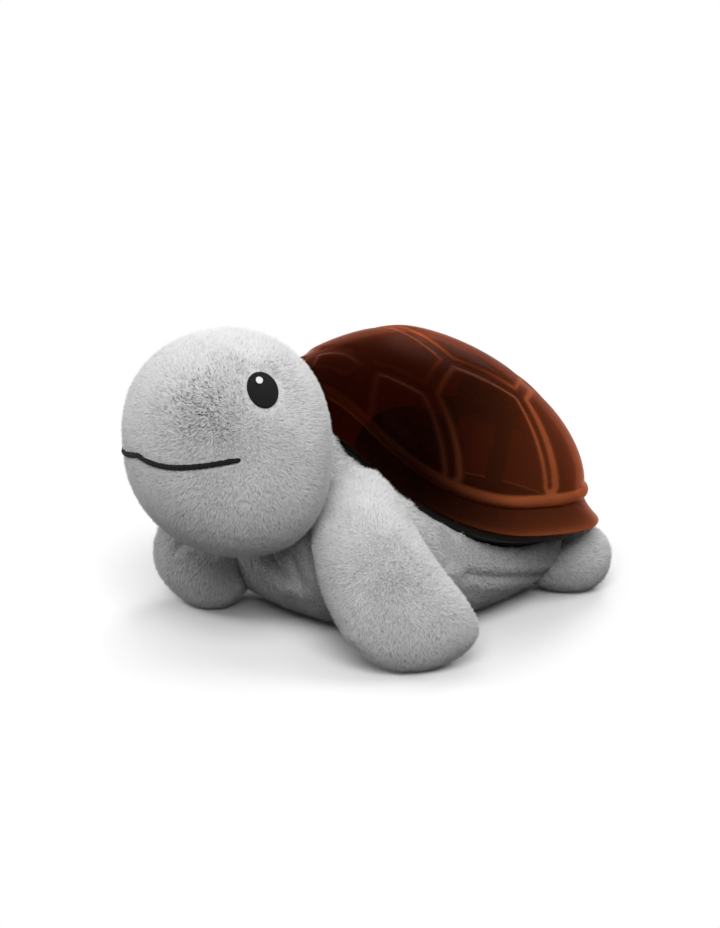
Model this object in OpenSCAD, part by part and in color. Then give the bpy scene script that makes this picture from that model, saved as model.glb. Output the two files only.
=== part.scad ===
// Plush turtle night light with a moulded translucent scute shell.
// Millimetres. The head faces minus Y, the turtle's left is plus X, and it stands on Z 0.

/* [Shell] */
// Height of the sides of the shell edge above the floor
shell_z = 46; // [42:1:54]
// Place of the shell centre along the body
shell_y = 20; // [16:1:26]
// Tilt of the shell, front end up, in degrees
shell_pitch = 9; // [6:1:12]
// Half length of the dome behind its centre
dome_a = 84; // [78:1:92]
// Half width of the dome
dome_b = 76; // [70:1:84]
// Height of the dome crown above the shell edge
dome_h = 80; // [74:1:90]
// Height of the bead above the shell edge
bead_z = 17; // [14:1:20]
// Radius of the bead
bead_r = 3; // [2:0.5:4]
// How far the skirt flares out past the dome
skirt_flare = 9; // [6:0.5:12]
// Rise of the shell edge where it arches over the neck
rim_lift = 39; // [30:1:44]
// Wall of the dome
shell_wall = 2.2; // [1.6:0.2:3]
// Height of the raised scutes
scute_rise = 1; // [0.6:0.1:1.4]
// Width of the channel between scutes, as a share of the dome radius
scute_gap = 0.05; // [0.03:0.01:0.08]

/* [Tray] */
// Depth of the tray floor below the shell edge
tray_depth = 14; // [12:1:18]
// Wall of the tray
tray_wall = 2.2; // [1.8:0.2:3]
// Radius of the screw bosses in the dome
boss_r = 3.6; // [3:0.2:4.5]

/* [Plush] */
// Half width of the body
body_w = 72; // [66:1:76]
// Reach of the chest ahead of the shell centre
body_front = 80; // [74:1:88]
// Reach of the rump behind the shell centre
body_rear = 84; // [80:1:88]
// Height of the widest part of the body
body_mid = 50; // [46:1:56]
// Half width of the head
head_w = 51; // [44:1:54]
// Reach of the muzzle ahead of the head centre
head_front = 48; // [44:1:54]
// Reach of the nape behind the head centre
head_back = 33; // [26:1:36]
// Height of the head above its widest part
head_top = 46; // [42:1:52]
// Depth of the head below its widest part
head_low = 50; // [46:1:54]
// Place of the head centre along the body
head_y = -77.5; // [-84:1:-72]
// Height of the widest part of the head
head_z = 96; // [92:1:104]
// Turn of the head to the turtle's right, in degrees
head_turn = 15; // [0:1:20]
// Half width of a front flipper
flipper_w = 29; // [24:1:32]
// Half thickness of a front flipper
flipper_t = 18; // [14:1:20]
// Half width of a rear foot
foot_w = 18; // [15:1:20]
// Depth of the flat that the plush stands on
sole_flat = 0.5; // [0.3:0.1:1]
// Length of an embroidered eye
eye_len = 17.5; // [15:0.5:20]
// Width of an embroidered eye
eye_wid = 12.5; // [10:0.5:15]
// Diameter of the stitched highlight in the eye
glint_d = 4; // [3:0.5:5]
// Half length of the mouth across the face
mouth_reach = 45; // [36:1:46]
// Thickness of the stitched mouth
mouth_d = 1.6; // [1.2:0.2:2.4]
// Height of the embroidery above the plush
stitch_rise = 0.9; // [0.6:0.1:1.4]

/* [Lamp] */
// Width of the circuit board left free round the star mask
board_edge = 3; // [2.5:0.25:4]
// Thickness of the circuit boards
board_t = 1.6; // [1:0.2:2]
// Height of the circuit board above the tray floor
board_gap = 6; // [5:0.5:8]
// Outer radius of the star mask
mask_r = 27; // [24:1:29]
// Height of the straight wall of the star mask
mask_rise = 22; // [16:1:26]
// Wall of the star mask
mask_wall = 1.4; // [1:0.2:2]
// Outer radius of a star in the mask
star_r = 3; // [2:0.2:3.6]
// Diameter of an LED
led_d = 5; // [4:0.5:6]

/* [Buttons] */
// Radius of a button
button_r = 4.5; // [4:0.25:5]
// Distance between buttons
button_pitch = 15; // [14:0.5:18]
// Travel of a button
button_travel = 1; // [0.6:0.1:1.2]
// Height of a button above its collar
button_proud = 1.4; // [1.2:0.1:2]
// Wall of a button collar
collar_wall = 1.8; // [1.4:0.1:2.2]

/* [Battery] */
// Diameter of a cell
cell_d = 10.5; // [10.5:0.5:14.5]
// Length of a cell
cell_l = 44.5; // [44.5:0.5:50.5]
// Number of cells side by side
cell_count = 3; // [2:1:3]
// Wall of the battery box
box_wall = 2; // [1.6:0.2:2.6]
// Thickness of the battery door
door_t = 3; // [2.6:0.2:3.6]
// Height of the door face above the floor
door_z = 0.8; // [0.6:0.1:1.4]
// Width of the flange that the box stands on
box_flange = 5; // [4:0.5:7]
// Thickness of that flange
box_flange_t = 2; // [1.6:0.2:2.4]
// Radius of the door's hinge pins
pin_r = 1.45; // [1.2:0.05:1.5]
// Wire diameter of a cell spring
spring_d = 0.6; // [0.5:0.1:0.7]
// Turns of a cell spring
spring_turns = 3; // [2:1:4]

/* [Hidden] */

// clearances
soft_gap = 0.3;
seat_gap = 0.3;
fit_gap = 0.15;
slide_gap = 0.1;
pin_gap = 0.05;

// colours
plush_grey = [0.66, 0.66, 0.65];
stitch_black = [0.05, 0.05, 0.05];
shell_brown = [0.36, 0.13, 0.05, 0.8];
tray_black = [0.06, 0.055, 0.05];
board_green = [0.1, 0.35, 0.16];
steel = [0.75, 0.75, 0.76];

// shell form: an oval that is wider behind, blunt in front and arched over the neck
egg = 0.25;
blunt = 0.33;
fullness = 1.19;
crown_shift = -3;
shell_steps = 56;

function plan(t, a, b) = [b*cos(t)*(1 + egg*sin(t)), a*sin(t)*(sin(t) > 0 ? 1 : 1 - blunt*pow(sin(t), 2))];
function arch(t) = sin(t) < 0 ? rim_lift*pow(sin(t), 2) : 0;

// a ring of the shell, out from the dome base by o and up from the edge by z
function rim_point(t, o, z) = let (p = plan(t, dome_a + o, dome_b + o)) [p.x, p.y, z + arch(t)];

// a point of the dome at share c of its radius, raised by o
function dome_point(t, c, o) =
    let (p = plan(t, dome_a + o, dome_b + o))
    let (base = bead_z + arch(t))
    let (rise = pow(sin(acos(pow(c, 1/fullness))), fullness))
    [p.x*c, p.y*c + crown_shift*(1 - c), base + (dome_h + o - base)*rise];

// the same point from its place on the unit disc
function disc_point(d, o) = dome_point(atan2(d.y, d.x), min(1, norm(d)), o);

module shell_frame() { translate([0, shell_y, shell_z]) rotate([-shell_pitch, 0, 0]) children(); }

// whole tree of triangles joined as one mesh
module fused() { resize([0, 0, 0]) children(); }

// closed skin over rings of equal length, with a point at each end; the rings turn left as they go up
module skin(rings, first, last) {
    n = len(rings[0]);
    m = len(rings);
    points = concat([for (r = rings) each r], [first, last]);
    sides = [for (j = [0:m - 2], i = [0:n - 1]) let (k = (i + 1) % n)
        each [[j*n + i, (j + 1)*n + k, j*n + k], [j*n + i, (j + 1)*n + i, (j + 1)*n + k]]];
    ends = [for (i = [0:n - 1]) let (k = (i + 1) % n)
        each [[m*n, i, k], [m*n + 1, (m - 1)*n + k, (m - 1)*n + i]]];
    polyhedron(points, concat(sides, ends), convexity = 8);
}

function unit(v) = v/norm(v);

// round tube along a list of points
function tube_ring(c, d, r, n) =
    let (a = unit(cross(d, abs(d.z) < 0.9*norm(d) ? [0, 0, 1] : [0, 1, 0])))
    let (b = unit(cross(d, a)))
    [for (i = [0:n - 1]) c + r*(a*cos(360*i/n) + b*sin(360*i/n))];
module tube(path, r, n = 8) {
    last = len(path) - 1;
    rings = [for (i = [0:last]) tube_ring(path[i], path[min(i + 1, last)] - path[max(i - 1, 0)], r, n)];
    skin(rings, path[0], path[last]);
}

// pebble form: rounded plan with its own front, back, top and bottom reach
face_round = 0.92;
function power(v, e) = sign(v)*pow(abs(v), e);
function pebble_ring(c, w, front, back, z, k, n, e) =
    [for (i = [0:n - 1]) let (a = 360*i/n)
        c + [w*k*power(cos(a), e), (sin(a) > 0 ? back : front)*k*power(sin(a), e), z]];
module pebble(c, w, front, back, top, low, top_n, low_n, g, n = 36, rows = 8, e = face_round) {
    levels = [for (i = [1 - rows:rows - 1]) sin(90*i/rows)];
    function shrink(s) = let (m = s > 0 ? top_n : low_n) pow(1 - pow(abs(s), m), 1/m);
    rings = [for (s = levels)
        pebble_ring(c, w + g, front + g, back + g, s*(s > 0 ? top + g : low + g), shrink(s), n, e)];
    skin(rings, c - [0, 0, low + g], c + [0, 0, top + g]);
}

// limb form: an oval section along a curved spine, swelling and tapering
function spine(p, s) =
    pow(1 - s, 3)*p[0] + 3*pow(1 - s, 2)*s*p[1] + 3*(1 - s)*s*s*p[2] + pow(s, 3)*p[3];
module limb(p, across, w, t, taper, g, n = 18, steps = 11) {
    along = unit(p[3] - p[0]);
    wide = unit(across - along*(across*along));
    thick = cross(along, wide);
    places = [for (j = [1:steps - 1]) 0.5 - 0.5*cos(180*j/steps)];
    function swell(s) = pow(1 - pow(abs(2*s - 1), 2.8), 1/2.8)*(1 - taper*(1 - s));
    rings = [for (s = places) [for (i = [0:n - 1])
        spine(p, s) + wide*(w*swell(s) + g)*cos(360*i/n) + thick*(t*swell(s) + g)*sin(360*i/n)]];
    skin(rings, p[0] - along*g, p[3] + along*g);
}

module mirrored(left) { mirror([left ? 0 : 1, 0, 0]) children(); }

// everything above the floor
far = 400;
module stand_cut() { intersection() { children(); translate([-far/2, -far/2, 0]) cube(far); } }

// shell
scute_steps = 3;
edge_round = 0.9;
bead_arc = [70, 35, 0, -35, -70];
outer_shares = [0.1, 0.24, 0.38, 0.52, 0.65, 0.77, 0.87, 0.94, 0.985];
inner_shares = [0.96, 0.88, 0.76, 0.6, 0.4, 0.2];

function skirt_out(k) = bead_r*0.4 + (skirt_flare - bead_r*0.4)*pow(k, 1.5);
function shell_profile(t) = concat(
    [for (c = outer_shares) dome_point(t, c, 0)],
    [for (a = bead_arc) rim_point(t, bead_r*cos(a), bead_z - bead_r*0.9 + bead_r*sin(a))],
    [for (k = [0.35, 0.7, 1]) rim_point(t, skirt_out(k), (bead_z - bead_r*2)*(1 - k) + edge_round)],
    [rim_point(t, skirt_flare - edge_round*0.4, edge_round*0.25), rim_point(t, skirt_flare - edge_round, 0)],
    [rim_point(t, skirt_flare - shell_wall, 0)],
    [for (k = [0.7, 0.35]) rim_point(t, skirt_out(k) - shell_wall, (bead_z - bead_r*2)*(1 - k) + edge_round)],
    [rim_point(t, -shell_wall, bead_z - bead_r)],
    [for (c = inner_shares) dome_point(t, c, -shell_wall)]);

module shell_skin() {
    profiles = [for (i = [0:shell_steps - 1]) shell_profile(360*i/shell_steps)];
    rings = [for (j = [len(profiles[0]) - 1:-1:0]) [for (p = profiles) p[j]]];
    skin(rings, dome_point(0, 0, -shell_wall), dome_point(0, 0, 0));
}

// scute outlines on the unit disc, left half, front to back
spine_scutes = [
    [[0.3, -0.7], [0.57, -0.4], [0.4, -0.08]],
    [[0.4, -0.08], [0.6, 0.18], [0.43, 0.45]],
    [[0.43, 0.45], [0.52, 0.7], [0.36, 0.9]],
    [[0.2, -0.96], [0.3, -0.7]]];
side_scutes = [
    [[0.46, -0.86], [0.72, -0.66], [0.9, -0.4], [0.57, -0.4], [0.3, -0.7]],
    [[0.9, -0.4], [0.98, -0.12], [0.96, 0.17], [0.6, 0.18], [0.4, -0.08], [0.57, -0.4]],
    [[0.96, 0.17], [0.86, 0.48], [0.67, 0.71], [0.52, 0.7], [0.43, 0.45], [0.6, 0.18]]];

function flip(v) = [for (i = [len(v) - 1:-1:0]) [-v[i].x, v[i].y]];
function middle(v) = [for (i = [0, 1]) [for (p = v) p[i]]*[for (p = v) 1]/len(v)];
function divided(v) = [for (i = [0:len(v) - 1], k = [0:scute_steps - 1])
    v[i] + (v[(i + 1) % len(v)] - v[i])*k/scute_steps];

// a raised panel: its foot lies in the wall, its bevel draws in towards the middle
module scute(corners) {
    m = middle(corners);
    edge = divided(corners);
    function drawn(inset) = [for (p = edge) let (d = m - p) p + d*min(0.9, inset/norm(d))];
    half = scute_gap/2;
    layers = [[half*0.6, -shell_wall/2], [half*1.8, scute_rise*0.8], [half*2.7, scute_rise]];
    inner = [[for (p = drawn(half*2.7)) disc_point(p + (m - p)*0.5, scute_rise)]];
    rings = concat([for (l = layers) [for (p = drawn(l[0])) disc_point(p, l[1])]], inner);
    skin(rings, disc_point(m, -shell_wall/2), disc_point(m, scute_rise));
}

// dome screws: two at the sides ahead of the middle, two behind it
boss_angles = [-18, 40, 140, 198];
boss_share = 0.87;
boss_seat = -4;
boss_pilot = 1.3;
pad_t = 4;
pad_gap = 0.05;
pad_rim = 1.2;
screw_head_r = 2.3;
screw_head_t = 1.6;
function boss_place(t) = let (p = plan(t, dome_a, dome_b)*boss_share) [p.x, p.y, boss_seat + arch(t)];
function boss_top(t) = dome_point(t, boss_share + boss_r/dome_b + 0.015, -shell_wall*0.7).z;

module shell_dome() {
    color(shell_brown) shell_frame() fused() difference() {
        union() {
            shell_skin();
            for (s = spine_scutes) scute(concat(s, flip(s)));
            for (s = side_scutes) {
                scute(s);
                scute(flip(s));
            }
            for (t = boss_angles) let (p = boss_place(t))
                translate(p) cylinder(h = boss_top(t) - p.z, r = boss_r, $fn = 20);
        }
        for (t = boss_angles)
            translate(boss_place(t) - [0, 0, 1]) cylinder(h = 13, r = boss_pilot, $fn = 16);
        for (i = [-1:1]) button_frame(i)
            translate([0, 0, -collar_depth]) cylinder(h = collar_depth*2, r = collar_r + fit_gap, $fn = 32);
    }
}

module dome_screws() {
    shank_r = boss_pilot - 0.1;
    color(steel) shell_frame() for (t = boss_angles) translate(boss_place(t) - [0, 0, pad_t]) {
        translate([0, 0, 0.1]) cylinder(h = pad_t + 9, r = shank_r, $fn = 32);
        translate([0, 0, -screw_head_t + 0.1]) cylinder(h = screw_head_t, r = screw_head_r, $fn = 32);
    }
}

// tray
tray_floor = -tray_depth;
floor_share = 0.68;
flange_in = 2;
flange_t = 2.6;
tray_shares = [0.94, 0.86, 0.76];
function tray_point(t, c, under) =
    let (k = (c - floor_share)/(1 - floor_share))
    let (p = plan(t, dome_a, dome_b)*c)
    [p.x, p.y, tray_floor - under + (arch(t) - seat_gap - tray_floor)*pow(k, 1.2)];
function tray_profile(t) = concat(
    [for (c = [floor_share*0.5, floor_share]) let (p = plan(t, dome_a, dome_b)*c) [p.x, p.y, tray_floor]],
    [for (i = [2:-1:0]) tray_point(t, tray_shares[i], 0)],
    [rim_point(t, skirt_flare - flange_in, -seat_gap), rim_point(t, skirt_flare - flange_in, -flange_t)],
    [for (c = tray_shares) tray_point(t, c, tray_wall)],
    [for (c = [floor_share, floor_share*0.5]) let (p = plan(t, dome_a, dome_b)*c)
        [p.x, p.y, tray_floor - tray_wall]]);

board_c = [0, 8];
board_z = tray_floor + board_gap;
chip = [6, 12, 1.4];
chip_gap = 1.5;
mask_flange = 3;
board_x = 2*(mask_r + mask_flange + chip.x + 2*chip_gap);
board_y = 2*(mask_r + mask_flange + board_edge);
hole_inset = 3.5;
board_post_r = 3;
board_hole_r = 1.1;
function board_holes() = [for (i = [-1, 1], j = [-1, 1])
    [board_c.x + i*(board_x/2 - hole_inset), board_c.y + j*(board_y/2 - hole_inset)]];
lead_hole_r = 3;
lead_hole = [board_c.x + 12, board_c.y + 12];

module tray_skin() {
    profiles = [for (i = [0:shell_steps - 1]) tray_profile(360*i/shell_steps)];
    rings = [for (j = [len(profiles[0]) - 1:-1:0]) [for (p = profiles) p[j]]];
    skin(rings, [0, 0, tray_floor - tray_wall], [0, 0, tray_floor]);
}

module base_tray() {
    color(tray_black) shell_frame() fused() difference() {
        union() {
            tray_skin();
            for (p = board_holes())
                translate([p.x, p.y, tray_floor - 1]) cylinder(h = board_gap + 1, r = board_post_r, $fn = 20);
            for (t = boss_angles) translate(boss_place(t) - [0, 0, pad_t + pad_gap])
                cylinder(h = pad_t, r = boss_r + pad_rim, $fn = 20);
        }
        for (p = board_holes())
            translate([p.x, p.y, tray_floor + 0.4]) cylinder(h = board_gap, r = board_hole_r, $fn = 16);
        for (t = boss_angles) translate(boss_place(t) - [0, 0, pad_t + 20]) {
            cylinder(h = pad_t + 30, r = boss_pilot, $fn = 16);
            cylinder(h = 20.1, r = screw_head_r + 0.4, $fn = 20);
        }
        translate([lead_hole.x, lead_hole.y, tray_floor - 10]) cylinder(h = 20, r = lead_hole_r, $fn = 20);
    }
}

// space that the light unit takes out of the plush, with room beside the skirt
module unit_space(g, side = 0) {
    function beside(t) = side*(sin(t) < 0 ? pow(cos(t), 2) : 1);
    function space_profile(t) = concat(
        [for (c = [floor_share*0.5, floor_share + 0.01]) let (p = plan(t, dome_a, dome_b)*c)
            [p.x, p.y, tray_floor - tray_wall - g]],
        [for (c = [0.76, 0.86, 0.94]) tray_point(t, c, tray_wall + g + 0.3)],
        [rim_point(t, skirt_flare - flange_in + g, -flange_t - g)],
        [rim_point(t, skirt_flare + g + beside(t), -g)],
        [for (k = [1, 0.7, 0.35])
            rim_point(t, skirt_out(k) + g + beside(t), (bead_z - bead_r*2)*(1 - k) + edge_round + g)],
        [rim_point(t, bead_r + g + beside(t)*0.7, bead_z)],
        [for (c = [0.98, 0.9, 0.78, 0.6, 0.3]) dome_point(t, c, g + scute_rise + 0.4)]);
    profiles = [for (i = [0:shell_steps - 1]) space_profile(360*i/shell_steps)];
    rings = [for (j = [0:len(profiles[0]) - 1]) [for (p = profiles) p[j]]];
    shell_frame() {
        skin(rings, [0, 0, tray_floor - tray_wall - g], [0, crown_shift, dome_h + g + scute_rise + 0.4]);
        for (t = boss_angles) translate(boss_place(t) - [0, 0, pad_t + screw_head_t + 1])
            cylinder(h = pad_t + 4, r = boss_r + pad_rim + g, $fn = 20);
    }
}

// plush
body_c = [0, shell_y, body_mid];
body_round = 0.8;
body_top = 46;
skirt_room = 14;
neck_c = [0, head_y + 36, 66];
neck_r = [27, 25, 33];
module body_form(g) {
    low = body_mid + sole_flat;
    pebble(body_c, body_w, body_front, body_rear, body_top, low, 2.2, 3.6, g, e = body_round);
    pebble(neck_c, neck_r.x, neck_r.y, neck_r.y, neck_r.z, neck_r.z, 2.2, 2.2, g, 20, 5);
}
module plush_body() {
    color(plush_grey) fused() stand_cut() difference() {
        body_form(0);
        unit_space(soft_gap, skirt_room);
        box_space(soft_gap);
    }
}

head_c = [0, head_y, head_z];
head_n = 2.25;
module head_frame() { translate(head_c) rotate([0, 0, -head_turn]) children(); }
module head_form(g) {
    head_frame() pebble([0, 0, 0], head_w, head_front, head_back, head_top, head_low, head_n, head_n, g);
}
module plush_head() {
    color(plush_grey) fused() difference() {
        head_form(0);
        body_form(soft_gap);
        unit_space(soft_gap);
    }
}

// each front flipper has its own pose: the left reaches out, the right is tucked forward
left_spine = [[20, -33, 76.5], [49, -59, 66], [70, -64, 26], [88, -33, 4.5]];
left_full = 1.06;
left_across = [0.7, 0.68, 0.24];
right_spine = [[-32, -22, 64], [-41, -46, 42], [-40, -48, 37], [-63, -61, 5]];
right_across = [-0.9, -0.2, 0.2];
right_full = 1.1;
flipper_taper = 0.36;
module flipper(spine_points, across, full) {
    color(plush_grey) fused() stand_cut() difference() {
        limb(spine_points, across, flipper_w*full, flipper_t*full, flipper_taper, 0);
        body_form(soft_gap);
        head_form(soft_gap);
        unit_space(soft_gap);
    }
}
module flipper_left() { flipper(left_spine, left_across, left_full); }
module flipper_right() { flipper(right_spine, right_across, right_full); }

foot_spine = [[26, 52, 26], [44, 64, 22], [58, 80, 16], [70, 94, 12]];
foot_across = [0.8, -0.6, 0];
module rear_foot(left) {
    color(plush_grey) mirrored(left) fused() stand_cut() difference() {
        limb(foot_spine, foot_across, foot_w, foot_w, 0.1, 0, 16, 9);
        body_form(soft_gap);
        unit_space(soft_gap);
    }
}
module rear_foot_left() { rear_foot(true); }
module rear_foot_right() { rear_foot(false); }

// face: embroidery lies on the head as a thin raised skin
eye_at = [42, -9, 32.5];
glint_at = [39, -9.5, 35.8];
eye_tilt = 26;
stitch_sink = 0.05;
module embroidered() {
    fused() difference() {
        intersection() {
            head_form(stitch_rise);
            head_frame() children();
        }
        head_form(stitch_sink);
    }
}
eye_out = unit([eye_at.x/pow(head_w, 2), eye_at.y/pow(head_front, 2), eye_at.z/pow(head_top, 2)]);
module eye_patch(at, l, w) {
    translate(at) rotate([0, acos(eye_out.z), atan2(eye_out.y, eye_out.x)]) rotate([0, 0, eye_tilt])
        scale([l/2, w/2, 1]) cylinder(h = 16, r = 1, center = true, $fn = 32);
}
module eye(left) {
    color(stitch_black) embroidered() mirrored(left) difference() {
        eye_patch(eye_at, eye_len, eye_wid);
        eye_patch(glint_at, glint_d + 0.1, glint_d + 0.1);
    }
}
module eye_left() { eye(true); }
module eye_right() { eye(false); }
module eye_glints() {
    color("white") for (left = [true, false])
        embroidered() mirrored(left) eye_patch(glint_at, glint_d, glint_d);
}

// the mouth is two arcs that meet in a small cusp and curve up to the cheeks
mouth_z = -3;
mouth_curl = 8.5;
mouth_cusp = 1;
mouth_steps = 14;
function face_y(x, z) =
    let (k = pow(1 - pow(abs(z)/(z > 0 ? head_top : head_low), head_n), 1/head_n))
    let (c = pow(abs(x)/(head_w*k), 1/face_round))
    -head_front*k*pow(1 - c*c, face_round/2);
mouth_path = [for (i = [-mouth_steps:mouth_steps]) let (x = mouth_reach*i/mouth_steps)
    let (z = mouth_z + mouth_curl*pow(abs(i/mouth_steps), 2.4) + mouth_cusp*pow(1 - abs(i/mouth_steps), 8))
    [x, face_y(x, z), z]];
module mouth_stitching() { color(stitch_black) embroidered() tube(mouth_path, mouth_d/2, 6); }

// lamp
led_ring = 7;
module circuit_board() {
    color(board_green) shell_frame() translate([0, 0, board_z]) difference() {
        translate([board_c.x - board_x/2, board_c.y - board_y/2, 0]) cube([board_x, board_y, board_t]);
        for (p = board_holes())
            translate([p.x, p.y, -1]) cylinder(h = board_t + 2, r = board_hole_r, $fn = 24);
    }
}
board_top = board_z + board_t;
module control_chip() {
    color(tray_black) shell_frame()
        translate([board_c.x - board_x/2 + chip_gap, board_c.y - chip.y/2, board_top]) cube(chip);
}
board_screw_r = board_hole_r - fit_gap;
board_screw_head = [1.9, 1.3];
module board_screws() {
    grip = board_t + board_gap*0.75;
    color(steel) shell_frame() for (p = board_holes()) translate([p.x, p.y, board_top]) {
        translate([0, 0, -grip]) cylinder(h = grip, r = board_screw_r, $fn = 24);
        cylinder(h = board_screw_head[1], r = board_screw_head[0], $fn = 24);
    }
}
module led(i, tint) {
    r = led_d/2;
    color(tint) shell_frame()
        translate([board_c.x + led_ring*cos(120*i + 90), board_c.y + led_ring*sin(120*i + 90), board_top])
        rotate_extrude($fn = 32) polygon(concat([[0, 0], [r + 0.4, 0], [r + 0.4, 1], [r, 1], [r, led_d]],
            [for (a = [15:15:75]) [r*cos(a), led_d + r*sin(a)]], [[0, led_d + r]]));
}
module led_amber() { led(0, "orange"); }
module led_green() { led(1, "limegreen"); }
module led_blue() { led(2, "royalblue"); }

// star mask: a hood over the LEDs whose star openings throw the stars
star_rows = [[28, 9], [52, 6], [74, 3]];
module star(r) { polygon([for (i = [0:9]) (i % 2 == 0 ? r : r*0.42)*[sin(36*i), cos(36*i)]]); }
module star_mask() {
    inner = mask_r - mask_wall;
    color([0.15, 0.14, 0.13]) shell_frame() translate([board_c.x, board_c.y, board_top]) difference() {
        rotate_extrude($fn = 64) polygon(concat(
            [[inner, 0], [mask_r + mask_flange, 0], [mask_r + mask_flange, mask_wall], [mask_r, mask_wall]],
            [for (a = [0:6:84]) [mask_r*cos(a), mask_rise + mask_r*sin(a)]],
            [[0, mask_rise + mask_r], [0, mask_rise + inner]],
            [for (a = [84:-6:0]) [inner*cos(a), mask_rise + inner*sin(a)]]));
        translate([0, 0, mask_rise]) for (row = star_rows, i = [0:row[1] - 1])
            rotate([0, 90 - row[0], 360*i/row[1]])
            translate([0, 0, inner*0.8]) linear_extrude(mask_r) star(star_r);
    }
}

// buttons: a row on the rear slope of the dome, each square to the slope
button_share = 0.8;
row_c = dome_point(90, button_share, scute_rise);
row_slope = dome_point(90, button_share + 0.02, scute_rise) - dome_point(90, button_share - 0.02, scute_rise);
row_out = unit([0, -row_slope.z, row_slope.y]);
row_lean = atan2(row_out.y, row_out.z);
function row_angle(i) = 90 - asin(i*button_pitch/(dome_b*(1 + egg)*button_share));
function row_drop(i) = (dome_point(row_angle(i), button_share, scute_rise) - row_c)*row_out;
module button_row() { translate(row_c) rotate([-row_lean, 0, 0]) children(); }
module button_frame(i) { button_row() translate([i*button_pitch, 0, row_drop(i)]) children(); }

collar_r = button_r + slide_gap + collar_wall;
collar_rise = 1;
collar_depth = 6;
stop_t = 1.2;
stem_r = 2;
cap_bevel = 0.6;
stop_r = button_r + 1;
switch_depth = 14;
switch_size = [6, 6, 3.6];
plunger_r = 1.7;
plunger_up = 1.4;
module button_collars() {
    color(tray_black) shell_frame() for (i = [-1:1]) button_frame(i) translate([0, 0, -collar_depth])
        rotate_extrude($fn = 48) translate([button_r + slide_gap, 0])
            square([collar_wall, collar_depth + collar_rise]);
}
module button(i, tint) {
    foot = row_drop(-1) - switch_depth + switch_size.z + plunger_up - row_drop(i);
    stop_z = -collar_depth - stop_t - slide_gap;
    cap = collar_rise + button_proud;
    color(tint) shell_frame() button_frame(i) rotate_extrude($fn = 48) polygon([
        [0, foot], [stem_r, foot], [stem_r, stop_z], [stop_r, stop_z], [stop_r, stop_z + stop_t],
        [button_r, stop_z + stop_t], [button_r, cap - cap_bevel], [button_r - cap_bevel, cap], [0, cap]]);
}
module button_left() { button(1, [0.85, 0.5, 0.2]); }
module button_middle() { button(0, [0.3, 0.6, 0.35]); }
module button_right() { button(-1, [0.3, 0.45, 0.75]); }

// the switches stand on one flat board behind the buttons
module switch_level() { button_row() translate([0, 0, row_drop(-1) - switch_depth]) children(); }
module switch_bodies() {
    color(stitch_black) shell_frame() switch_level() for (i = [-1:1]) translate([i*button_pitch, 0, 0])
        difference() {
            translate([-switch_size.x/2, -switch_size.y/2, 0]) cube(switch_size);
            translate([0, 0, 0.8]) cylinder(h = switch_size.z, r = plunger_r + slide_gap, $fn = 32);
        }
}
module plunger(i) {
    start = 0.8 + button_travel + 0.3;
    color("ivory") shell_frame() switch_level() translate([i*button_pitch, 0, start])
        cylinder(h = switch_size.z + plunger_up - start, r = plunger_r, $fn = 32);
}
module plunger_left() { plunger(1); }
module plunger_middle() { plunger(0); }
module plunger_right() { plunger(-1); }

switch_board_size = [2*button_pitch + 14, 12, board_t];
module switch_board() {
    color(board_green) shell_frame() switch_level()
        translate([-switch_board_size.x/2, -switch_board_size.y/2, -board_t]) cube(switch_board_size);
}

// bracket: two cheeks and a cross web that hold the switch board up from the tray floor
cheek_t = 3;
cheek_x = button_pitch + 2;
bracket_base = [board_c.y + board_y/2 + 2, dome_a*floor_share - 4];
function level_point(y) = let (p = row_c + row_out*(row_drop(-1) - switch_depth - board_t)
    + y*[0, cos(row_lean), -sin(row_lean)]) [p.y, p.z];
module switch_bracket() {
    color(tray_black) shell_frame() {
        top = [level_point(switch_board_size.y/2), level_point(-switch_board_size.y/2)];
        for (i = [-1, 1]) translate([i*cheek_x - cheek_t/2, 0, 0]) rotate([90, 0, 90]) linear_extrude(cheek_t)
            polygon(concat([[bracket_base[0], tray_floor], [bracket_base[1], tray_floor]], top));
        translate([-cheek_x, bracket_base[0] + 3, tray_floor]) cube([2*cheek_x, 2, 20]);
    }
}

// battery box: an upright box under the tray, open at the belly
cell_gap = 0.5;
bay_x = cell_count*cell_d + (cell_count - 1)*cell_gap + 2.5;
spring_l = 4.4;
plate_t = 0.5;
bay_y = cell_l + spring_l + 2*plate_t + 0.4;
latch_l = 7;
box_y = bay_y + latch_l + box_wall;
box_x = bay_x + 2*box_wall;
box_front = box_flange/2 + box_wall;
door_top = door_z + door_t;
cell_z = door_top + 0.3 + cell_d/2;
bay_top = cell_z + cell_d/2 + 0.4;
hinge_y = box_front + door_t/2 + seat_gap;
hinge_z = door_z + door_t/2;
latch_y = box_front + bay_y + latch_l/2;
latch_r = 1.2;
latch_grip = 1.5;
pin_l = 1.6;
module box_block(g, top) {
    translate([-box_x/2 - g, box_front - box_wall - g, 0]) cube([box_x + 2*g, box_y + box_wall + 2*g, top]);
}
module box_foot(g) {
    w = box_flange + g;
    translate([-box_x/2 - w, box_front - box_wall - w, 0])
        cube([box_x + 2*w, box_y + box_wall + 2*w, box_flange_t + g]);
}
module box_space(g) {
    translate([0, 0, -1]) {
        box_block(g, shell_z);
        box_foot(g);
        translate([0, 0, 1]) box_foot(g);
    }
}
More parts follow.
